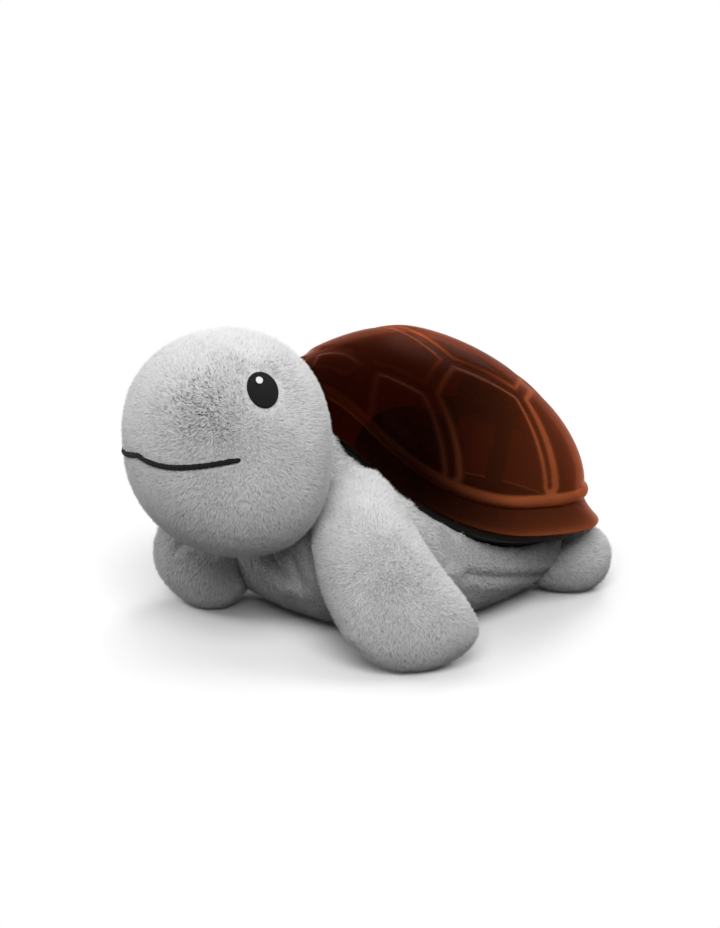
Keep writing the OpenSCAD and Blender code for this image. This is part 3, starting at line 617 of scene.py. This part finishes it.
def plushCloth():
    material, nodes, links, shader = newMaterial("plushCloth")
    fleck = noiseNode(nodes, links, 420, 4, 0.7)
    paint(nodes, links, shader, fleck, grey(0.36), grey(0.6))
    shader.inputs["Roughness"].default_value = 0.95
    shader.inputs["Specular IOR Level"].default_value = 0.1
    bumpNode(nodes, links, shader, fleck, 0.8, 0.0008)
    return material


def plushPile():
    material, nodes, links, shader = newMaterial("plushPile")
    toneAndShade = nodes.new("ShaderNodeAttribute")
    toneAndShade.attribute_name = "pile"
    stops = [(0, grey(0.155)), (0.45, grey(0.6)), (1, grey(0.79))]
    links.new(rampNode(nodes, links, toneAndShade.outputs["Fac"], stops), shader.inputs["Base Color"])
    shader.inputs["Roughness"].default_value = 0.75
    shader.inputs["Specular IOR Level"].default_value = 0.15
    shader.inputs["Sheen Weight"].default_value = 0.2
    shader.inputs["Sheen Roughness"].default_value = 0.5
    return material


clothMaterial, pileMaterial = plushCloth(), plushPile()


# stuffing: how the cover gives, how near a solid or seam it is held, and how far it may move
clothSet = {"quality": 6, "mass": 0.004, "stretch": 3, "shear": 1, "bend": 0.1, "frames": 20, "touch": 0.003,
            "seamDepth": 2, "seamHold": 2.2, "cap": 0.0018, "floorGap": 0.0002}


def baked(piece):
    # the piece with its modifiers applied
    made = bpy.data.meshes.new_from_object(piece.evaluated_get(bpy.context.evaluated_depsgraph_get()))
    piece.modifiers.clear()
    piece.data = made
    return made


def stuffed(piece, s):
    # the sewn cover is filled: cloth under pressure, held at its seams and where it lies against something
    c = clothSet
    points = meshPoints(piece.data)
    start = points - meshNormals(piece.data) * s["slack"]
    tree = treeOf([node.data for name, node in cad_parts.items() if name != s["node"]])
    held = np.array([tree.find_nearest(Vector(p), c["touch"])[0] is not None for p in points])
    for line, depth, width in seams.get(piece.name, []):
        if depth < c["seamDepth"]:
            held |= lineGap(points / mm, line) < c["seamHold"]
    start[held] = points[held]
    setPoints(piece.data, start)
    group = piece.vertex_groups.new(name="held")
    group.add([int(i) for i in np.where(held)[0]], 1, "REPLACE")
    stuffing = piece.modifiers.new("stuffing", "CLOTH")
    cloth = stuffing.settings
    cloth.quality = c["quality"]
    cloth.mass = c["mass"]
    cloth.tension_stiffness = c["stretch"]
    cloth.compression_stiffness = c["stretch"]
    cloth.shear_stiffness = c["shear"]
    cloth.bending_stiffness = c["bend"]
    cloth.use_pressure = True
    cloth.uniform_pressure_force = s["pressure"]
    cloth.effector_weights.gravity = 0
    cloth.vertex_group_mass = "held"
    stuffing.collision_settings.use_collision = False
    for step in range(1, c["frames"] + 1):
        scene.frame_set(step)
    shown = piece.evaluated_get(bpy.context.evaluated_depsgraph_get())
    move = meshPoints(shown.data) - start
    piece.modifiers.clear()
    scene.frame_set(1)
    far = np.linalg.norm(move, axis=1)
    print("stuffing:", piece.name, "moved", np.round(np.percentile(far, [5, 50, 95]) / mm, 2))
    move *= np.minimum(1, c["cap"] / np.maximum(far, 1e-9))[:, None]
    setPoints(piece.data, start + move)


def softForm(name, s):
    # a copy of the solid's mesh, evened out, filled and smoothed
    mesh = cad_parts[s["node"]].data.copy()
    mesh.materials.clear()
    mesh.materials.append(clothMaterial)
    piece = bpy.data.objects.new(name, mesh)
    scene.collection.objects.link(piece)
    remesh = piece.modifiers.new("even", "REMESH")
    remesh.mode = "VOXEL"
    remesh.voxel_size = s["voxel"]
    smooth = piece.modifiers.new("soft", "SMOOTH")
    smooth.factor = 0.5
    smooth.iterations = s["passes"]
    made = baked(piece)
    if s["pressure"]:
        stuffed(piece, s)
    if s["finer"]:
        piece.modifiers.new("finer", "SUBSURF").levels = 1
        made = baked(piece)
    made.polygons.foreach_set("use_smooth", np.full(len(made.polygons), True))
    points = meshPoints(made) + meshNormals(made) * s["swell"]
    points[:, 2] = np.maximum(points[:, 2], clothSet["floorGap"])
    setPoints(made, points)
    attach(piece, "turtle")
    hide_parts(s["node"])
    return piece


limbSet = {"voxel": 0.0036, "passes": 5, "finer": True, "fill": 0.8}
plushSet = {
    "body": {"node": "plush_body", "voxel": 0.003, "passes": 6, "finer": True, "fill": 0.8, "swell": 0.0007,
             "pressure": 150, "slack": 0.0005},
    "head": {"node": "plush_head", "voxel": 0.0022, "passes": 14, "finer": False, "fill": 0.9,
             "swell": 0.0004, "pressure": 0},
    "flipperLeft": {**limbSet, "node": "flipper_left", "swell": 0.0009, "pressure": 30, "slack": 0.001},
    "flipperRight": {**limbSet, "node": "flipper_right", "swell": 0.001, "pressure": 600, "slack": 0.0004},
    "footLeft": {**limbSet, "node": "rear_foot_left", "swell": 0.001, "pressure": 900, "slack": 0.0002},
    "footRight": {**limbSet, "node": "rear_foot_right", "swell": 0.001, "pressure": 900, "slack": 0.0002},
}


# sewn lines and drawn-in places: points in the frame, depth and width, millimetres
seams = {
    "body": [
        ([(69, -6, 32), (70, 6, 28), (70, 16, 25), (68, 32, 21), (64, 50, 16), (50, 74, 14)], 1.4, 2.2),
        ([(-69, -6, 32), (-70, 6, 28), (-70, 16, 25), (-68, 32, 21), (-64, 50, 16), (-50, 74, 14)], 1.4, 2.2),
        ([(61, -26, 64), (64, -23, 60), (66, -20, 54), (67, -18, 48), (67, -15, 40)], 2.2, 3.0),
        ([(1, -60, 38), (4, -60, 34), (8, -59, 29)], 2.6, 3.2),
        ([(14, -59, 40), (15, -59, 34), (17, -58, 28)], 2.2, 3.0)],
    "flipperRight": [
        ([(-52, -67, 29), (-47, -67, 35), (-42, -65, 38), (-37, -64, 37), (-33, -63, 33)], 1.0, 2.0)],
}


def lineGap(place, line):
    # distance of points from a line through a few places
    gap = np.full(len(place), 1e3)
    for a, b in zip(np.array(line, float), np.array(line[1:], float)):
        k = np.clip((place - a) @ (b - a) / ((b - a) @ (b - a)), 0, 1)
        gap = np.minimum(gap, np.linalg.norm(place - a - k[:, None] * (b - a), axis=1))
    return gap


plush = {name: softForm(name, s) for name, s in plushSet.items()}


def roundHead():
    # the face goes back to the head's exact form; the cut nape stays as it is
    mesh = plush["head"].data
    p = toHead(meshPoints(mesh))
    reach = headReach(p)
    weight = np.clip((reach - 0.93) / 0.04, 0, 1)[:, None]
    setPoints(mesh, fromHead(p + (p / reach[:, None] - p) * weight))


def drawIn(name):
    # pulls the cloth in along a seam, with a soft swell on both sides
    mesh = plush[name].data
    points = meshPoints(mesh)
    move = np.zeros(len(points))
    for line, depth, width in seams[name]:
        gap = lineGap(points / mm, line) / width
        move += depth * (0.25 * np.exp(-((gap - 2.2) / 0.9) ** 2) - np.exp(-gap ** 2))
    setPoints(mesh, points + meshNormals(mesh) * (move * mm)[:, None])


roundHead()
for name in seams:
    drawIn(name)
print("plush: body, head, flippers and feet")


# pile

pileSet = {
    "body": {"flow": (0, 0.8, -0.6), "perArea": 3.4, "seed": 3},
    "head": {"flow": (-0.58, 0.68, -0.4), "perArea": 6, "seed": 5},
    "flipperLeft": {"flow": (-0.55, 0.62, -0.52), "perArea": 6, "seed": 7},
    "flipperRight": {"flow": (-0.25, 0.1, -0.95), "perArea": 4.4, "seed": 11},
    "footLeft": {"flow": (0.3, 0.85, -0.3), "perArea": 4.4, "seed": 13},
    "footRight": {"flow": (-0.3, 0.85, -0.3), "perArea": 3.4, "seed": 17},
}
# strands: sizes in millimetres, angles in radians, tones from 0 dark to 1 pale
hairSet = {
    "length": 2.5, "lengthSpread": (0.7, 1.25), "width": 0.46, "widthSpread": (0.6, 1.2), "rise": 0.62,
    "riseCloud": 0.05, "riseStray": 0.14, "riseLimits": (0.15, 1.2), "upright": 0.5, "parting": 0.4,
    "swirl": 0.15, "swirlSize": 45, "tuft": 0.13, "tuftSize": 8, "stray": 0.25, "bend": (1.05, 0.18),
    "soft": 0.65, "toneCloud": 0.05, "toneSize": 30, "toneStray": 0.08, "levels": (0.2, 0.2, 0.95),
    "seamShade": 0.2, "seamShort": 0.4, "sunk": 0.2, "clearance": 2.2, "lowest": 1.2, "tipLowest": 0.3,
}
# painted shade: the body's pile is coloured darker downwards, towards the floor and under the shell, over this
# height
paintedBellyShade = {"paintedShade": 0.55, "top": 65, "over": 50}
# around the eyes and the mouth: where the pile starts, how short it is there and how soon it gets longer
faceSet = {
    "eyeFrom": 0.98, "eyeShort": 0.45, "eyeOver": 0.45, "eyePale": 0.22, "eyePaleOver": 0.3,
    "mouthFrom": 0.75, "mouthShort": 0.5, "mouthStart": 0.7, "mouthOver": 3, "mouthSamples": 161,
}
# places where the pile has been brushed up, with painted shade among the strands: centre in the frame, size in
# millimetres and strength
brushedAndShaded = {
    "head": [((24, -115, 119), 25, 1.0), ((3, -114, 129), 22, 0.4)],
    "flipperLeft": [((75, -61, 43), 19, 0.8)],
}
brushSet = {"wide": 0.5, "paintedShade": 0.08, "darker": 0.2, "darkerFrom": 0.55, "twist": 0.72}


def eyeShare(p, onRight):
    # 1 on the outline of an eye, less inside it
    q = p * np.array([-1 if onRight else 1, 1, 1])
    at, u, v, out = eyeAxes(eyeSet["at"])
    d = q - at
    behind = np.where(d @ out < -9, 9, 0)
    return np.hypot(d @ u / (eyeSet["length"] / 2), d @ v / (eyeSet["width"] / 2)) + behind


def turnZ(a):
    return np.array([[math.cos(a), -math.sin(a), 0], [math.sin(a), math.cos(a), 0], [0, 0, 1]])


def turnY(a):
    return np.array([[math.cos(a), 0, math.sin(a)], [0, 1, 0], [-math.sin(a), 0, math.cos(a)]])


def eyeAxes(at):
    # a place on the eye, the directions along and across it, and out of the head
    s = headSet
    c = np.array(eyeSet["at"])
    out = c / np.array([s["width"] ** 2, s["front"] ** 2, s["top"] ** 2])
    out /= np.linalg.norm(out)
    lean, around, tilt = math.acos(out[2]), math.atan2(out[1], out[0]), math.radians(eyeSet["tilt"])
    turn = turnZ(around) @ turnY(lean) @ turnZ(tilt)
    return np.array(at, float), turn[:, 0], turn[:, 1], out


def mouthLine(count):
    # the smile on the head's form: its far half lies lower, as photographed
    s, h = mouthSet, headSet
    k = np.linspace(-1, 1, count)
    x = s["reach"] * k
    out = np.abs(k)
    z = s["z"] + s["slant"] * x + s["curl"] * out ** 3.2 + s["cusp"] * (1 - out) ** 8
    z -= s["dip"] * np.sin(np.pi * np.clip(out / 0.95, 0, 1)) + s["farDip"] * np.clip(-k / 0.6, 0, 1) ** 2
    tall = np.where(z > 0, h["top"], h["low"])
    ring = (1 - (np.abs(z) / tall) ** h["power"]) ** (1 / h["power"])
    c = (np.abs(x) / (h["width"] * ring)) ** (1 / h["round"])
    y = -h["front"] * ring * (1 - c * c) ** (h["round"] / 2)
    return np.stack([x, y, z], -1)


def sownRoots(mesh, perArea, rng):
    # even random points on a mesh, and the way out of it there
    mesh.calc_loop_triangles()
    tri = np.zeros(len(mesh.loop_triangles) * 3, np.int32)
    mesh.loop_triangles.foreach_get("vertices", tri)
    tri = tri.reshape(-1, 3)
    points, normals = meshPoints(mesh), meshNormals(mesh)
    a, b, c = (points[tri[:, i]] for i in range(3))
    area = np.linalg.norm(np.cross(b - a, c - a), axis=1) / 2
    count = int(area.sum() / mm ** 2 * perArea)
    pick = np.searchsorted(np.cumsum(area) / area.sum(), rng.uniform(size=count))
    pick = np.minimum(pick, len(tri) - 1)
    u, v = rng.uniform(size=(2, count, 1))
    over = (u + v) > 1
    u, v = np.where(over, 1 - u, u), np.where(over, 1 - v, v)
    root = a[pick] + u * (b - a)[pick] + v * (c - a)[pick]
    na, nb, nc = (normals[tri[pick, i]] for i in range(3))
    return root, unit(na * (1 - u - v) + nb * u + nc * v)


def roomForPile(name, root, out):
    # no pile where the cloth lies against something or on the floor
    h = hairSet
    others = [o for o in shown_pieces() if o.type == "MESH" and o.name != name and not o.name.endswith("Pile")]
    tree = treeOf([piece.data for piece in others])
    free = root[:, 2] > h["lowest"] * mm
    for i, (at, way) in enumerate(zip(root, out)):
        hit = tree.ray_cast(Vector(at + way * 0.0001), Vector(way), h["clearance"] * mm)
        free[i] &= hit[0] is None
    return free


def roomForFace(root):
    # the pile keeps off the stitching; beside it the pile is shorter, and paler around the eyes
    f = faceSet
    p = toHead(root)
    ring = np.minimum(eyeShare(p, False), eyeShare(p, True))
    line = mouthLine(f["mouthSamples"])
    gap = np.zeros(len(p))
    for part in np.array_split(np.arange(len(p)), 60):
        gap[part] = np.sqrt(((p[part, None] - line[None]) ** 2).sum(-1)).min(1)
    free = (ring > f["eyeFrom"]) & (gap > f["mouthFrom"])
    eye, mouth = f["eyeShort"], f["mouthShort"]
    length = eye + (1 - eye) * np.clip((ring - 1) / f["eyeOver"], 0, 1)
    length *= mouth + (1 - mouth) * np.clip((gap - f["mouthStart"]) / f["mouthOver"], 0, 1)
    return free, length, f["eyePale"] * np.clip(1 - (ring - 1) / f["eyePaleOver"], 0, 1)


def growPile(name, s):
    h = hairSet
    seed = s["seed"]
    rng = np.random.default_rng(seed)
    root, out = sownRoots(plush[name].data, s["perArea"], rng)
    free = roomForPile(name, root, out)
    long = h["length"] * rng.uniform(*h["lengthSpread"], len(root))
    pale = np.zeros(len(root))
    if name == "head":
        clear, length, pale = roomForFace(root)
        free &= clear
        long *= length
    root, out, long, pale = root[free], out[free], long[free], pale[free]
    count = len(root)

    place = root / mm
    flow = np.array(s["flow"]) + h["swirl"] * softField(place, h["swirlSize"], seed + 100)
    flow += h["tuft"] * softField(place, h["tuftSize"], seed + 200) + h["stray"] * rng.normal(size=(count, 3))
    flow -= out * (flow * out).sum(1)[:, None]
    # where the pile parts it stands up
    rise = h["rise"] + h["upright"] * np.exp(-(np.linalg.norm(flow, axis=1) / h["parting"]) ** 2)
    rise += h["riseCloud"] * softField(place, h["tuftSize"], seed + 300)[:, 0]
    rise += h["riseStray"] * rng.normal(size=count)
    toneAndShade = h["toneCloud"] * softField(place, h["toneSize"], seed + 400)[:, 0]
    toneAndShade += h["toneStray"] * rng.normal(size=count)
    # painted shade on the lower body
    if name == "body":
        toneAndShade -= paintedBellyShade["paintedShade"] * np.clip((paintedBellyShade["top"] - place[:, 2]) / paintedBellyShade["over"], 0, 1)
    # along the seams the pile is shorter and gets painted shade
    for line, depth, width in seams.get(name, []):
        near = np.exp(-(lineGap(place, line) / width) ** 2)
        toneAndShade -= h["seamShade"] * near
        long = long * (1 - h["seamShort"] * near)
    # brushed strands are wider and turned about themselves at random, and carry painted shade: all a little
    # darker, some much darker
    wide, twist = np.ones(count), np.zeros(count)
    for at, size, amount in brushedAndShaded.get(name, []):
        b = brushSet
        k = amount * np.exp(-((place - np.array(at)) ** 2).sum(1) / size ** 2)
        wide += b["wide"] * k
        toneAndShade -= k * (b["paintedShade"] + b["darker"] * (rng.uniform(size=count) > b["darkerFrom"]))
        twist += np.pi * np.clip(b["twist"] * k, 0, 1) * rng.uniform(-1, 1, count)

    rise = np.clip(rise, *h["riseLimits"])
    lean = unit(flow) * np.cos(rise)[:, None] + out * np.sin(rise)[:, None]
    side = unit(np.cross(lean, out))
    side = side * np.cos(twist)[:, None] + np.cross(lean, side) * np.sin(twist)[:, None]
    half = (h["width"] * mm * wide * rng.uniform(*h["widthSpread"], count))[:, None] / 2
    start = root - out * h["sunk"] * mm
    tip = start + (lean * h["bend"][0] - out * h["bend"][1]) * (long * mm)[:, None]
    tip[:, 2] = np.maximum(tip[:, 2], h["tipLowest"] * mm)
    strand = np.stack([start - side * half, start + side * half, tip], 1)
    piece = addMesh(name + "Pile", strand.reshape(-1, 3), np.arange(count * 3).reshape(-1, 3), pileMaterial)
    # each strand's root corners are coloured darker than its tip: painted shade deep in the pile, on top of
    # the random tone and the painted shade above
    addLevels(piece, "pile", np.clip(np.array(h["levels"]) + (toneAndShade + pale)[:, None], 0, 1))
    # shading follows the cloth more than the single strand
    face = np.cross(side, lean)
    face *= np.sign((face * out).sum(1))[:, None]
    shown = unit(out * h["soft"] + face * (1 - h["soft"]))
    piece.data.normals_split_custom_set_from_vertices(np.repeat(shown, 3, axis=0))
    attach(piece, "turtle")
    print("pile:", name, count)


# face

stitchTurn = (0.4, 0.2, 0.9)


def satinStitch(name, low, high):
    material, nodes, links, shader = newMaterial(name)
    where = nodes.new("ShaderNodeTexCoord")
    spin = nodes.new("ShaderNodeMapping")
    spin.inputs["Rotation"].default_value = stitchTurn
    wave = nodes.new("ShaderNodeTexWave")
    wave.inputs["Scale"].default_value = 1700
    wave.inputs["Distortion"].default_value = 1.5
    wave.inputs["Detail"].default_value = 2
    links.new(where.outputs["Object"], spin.inputs["Vector"])
    links.new(spin.outputs["Vector"], wave.inputs["Vector"])
    paint(nodes, links, shader, wave.outputs["Fac"], grey(low), grey(high), 0.1, 0.9)
    shader.inputs["Roughness"].default_value = 0.6
    shader.inputs["Specular IOR Level"].default_value = 0.1
    bumpNode(nodes, links, shader, wave.outputs["Fac"], 0.6, 0.0003)
    return material


blackThread = satinStitch("blackThread", 0.002, 0.006)
whiteThread = satinStitch("whiteThread", 0.7, 0.92)


def ovalPatch(name, at, length, width, profile, onRight, material):
    # a stitched oval: raised a little, with a fuller border, its edge turned down to the cloth
    rings, count, tuckedIn = 22, 72, -0.2
    origin, u, v, out = eyeAxes(at)
    t = np.linspace(0, 2 * np.pi, count, endpoint=False)
    rows = []
    for k in np.append(np.linspace(0.03, 1, rings), 1):
        flat = origin + np.outer(np.cos(t) * k * length / 2, u) + np.outer(np.sin(t) * k * width / 2, v)
        rows.append(onHead(flat, np.full(count, profile(k) if len(rows) < rings else tuckedIn)))
    points = np.concatenate(rows)
    corners = gridCorners(len(rows), count)
    if onRight:
        points = points * np.array([-1, 1, 1])
        corners = corners[:, ::-1]
    points = np.concatenate([points, points[:count].mean(0)[None]])
    piece = addMesh(name, fromHead(points), corners, material)
    addFaces(piece, [(len(points) - 1, i, (i + 1) % count) for i in range(count)], True)
    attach(piece, "turtle")
    return piece


def eyeProfile(k):
    return eyeSet["rise"] * (1 - 0.3 * k ** 8) + 0.22 * math.exp(-((k - 0.9) / 0.05) ** 2)


def glintProfile(k):
    return eyeSet["rise"] + 0.45 * math.sqrt(max(0.02, 1 - 0.8 * k ** 4))


def addEyes():
    s = eyeSet
    for name, onRight, node in (("eyeLeft", False, "eye_left"), ("eyeRight", True, "eye_right")):
        piece = ovalPatch(name, s["at"], s["length"], s["width"], eyeProfile, onRight, blackThread)
        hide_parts(node)
    for name, onRight in (("glintLeft", False), ("glintRight", True)):
        piece = ovalPatch(name, s["glintAt"], s["glintLength"], s["glintWidth"], glintProfile, onRight,
                          whiteThread)
        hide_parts("eye_glints")


def addMouth():
    # a cord of slanted stitches laid along the smile
    s = mouthSet
    sides = s["sides"]
    line = onHead(mouthLine(261), s["rise"])
    along = unit(np.gradient(line, axis=0))
    out = unit(onHead(line, 1.0) - onHead(line, 0.0))
    across = np.cross(along, out)
    a = np.linspace(0, 2 * np.pi, sides, endpoint=False)
    rows = []
    for i in range(len(line)):
        ends = min(i, len(line) - 1 - i)
        full = min(1, 0.35 + 0.65 * math.sqrt(min(1, ends / 4)))
        r = s["thick"] / 2 * full * (1 + 0.09 * np.sin(i * 1.1 + 0.8 * np.sin(a)))
        rows.append(line[i] + np.outer(np.cos(a) * r, across[i]) + np.outer(np.sin(a) * r * 0.8, out[i]))
    points = np.concatenate(rows)
    piece = addMesh("mouth", fromHead(points), gridCorners(len(rows), sides), blackThread)
    addFaces(piece, [range(sides), range(len(points) - 1, len(points) - 1 - sides, -1)], False)
    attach(piece, "turtle")
    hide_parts("mouth_stitching")


addEyes()
addMouth()
print("face: stitched eyes and mouth")

for name in pileSet:
    growPile(name, pileSet[name])


# hard pieces keep their solids and get their finishes

# kind of finish, colour, roughness and the solids that have it
glossOf = {"plastic": 0.3, "dullPlastic": 0.06}
finishSet = {
    "trayBlack": ("dullPlastic", (0.004, 0.0035, 0.003), 0.45,
                  ["base_tray", "battery_box", "battery_door", "button_collars", "switch_bracket"]),
    "maskDark": ("plastic", (0.02, 0.018, 0.016), 0.5, ["star_mask"]),
    "boardGreen": ("plastic", (0.015, 0.06, 0.03), 0.35, ["circuit_board", "switch_board"]),
    "chipBlack": ("plastic", (0.015, 0.015, 0.016), 0.5, ["control_chip", "switch_bodies"]),
    "buttonAmber": ("plastic", (0.6, 0.23, 0.05), 0.4, ["button_left"]),
    "buttonGreen": ("plastic", (0.09, 0.3, 0.12), 0.4, ["button_middle"]),
    "buttonBlue": ("plastic", (0.08, 0.17, 0.5), 0.4, ["button_right"]),
    "plungerIvory": ("plastic", (0.75, 0.7, 0.58), 0.45, ["plunger_left", "plunger_middle", "plunger_right"]),
    "leadRed": ("plastic", (0.4, 0.02, 0.015), 0.45, ["battery_leads"]),
    "leadGrey": ("plastic", (0.3, 0.3, 0.31), 0.45, ["switch_leads"]),
    "cellSleeve": ("metal", (0.6, 0.4, 0.15), 0.35, ["battery_cells"]),
    "plated": ("metal", (0.62, 0.62, 0.63), 0.3,
               ["contact_plates", "cell_springs", "door_screw", "dome_screws", "board_screws"]),
    "lensAmber": ("lens", (0.9, 0.45, 0.06), 0, ["led_amber"]),
    "lensGreen": ("lens", (0.15, 0.7, 0.2), 0, ["led_green"]),
    "lensBlue": ("lens", (0.12, 0.25, 0.9), 0, ["led_blue"]),
}


def finishSolids():
    for name, (kind, colour, rough, nodes) in finishSet.items():
        if kind in glossOf:
            material = mouldedPlastic(name, colour, rough, glossOf[kind])
        elif kind == "metal":
            material = platedMetal(name, colour, rough)
        else:
            material = clearLens(name, colour)
        for node in nodes:
            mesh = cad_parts[node].data
            mesh.materials.clear()
            mesh.materials.append(material)


finishSolids()
print("hard pieces: finishes set")

bpy.context.view_layer.update()
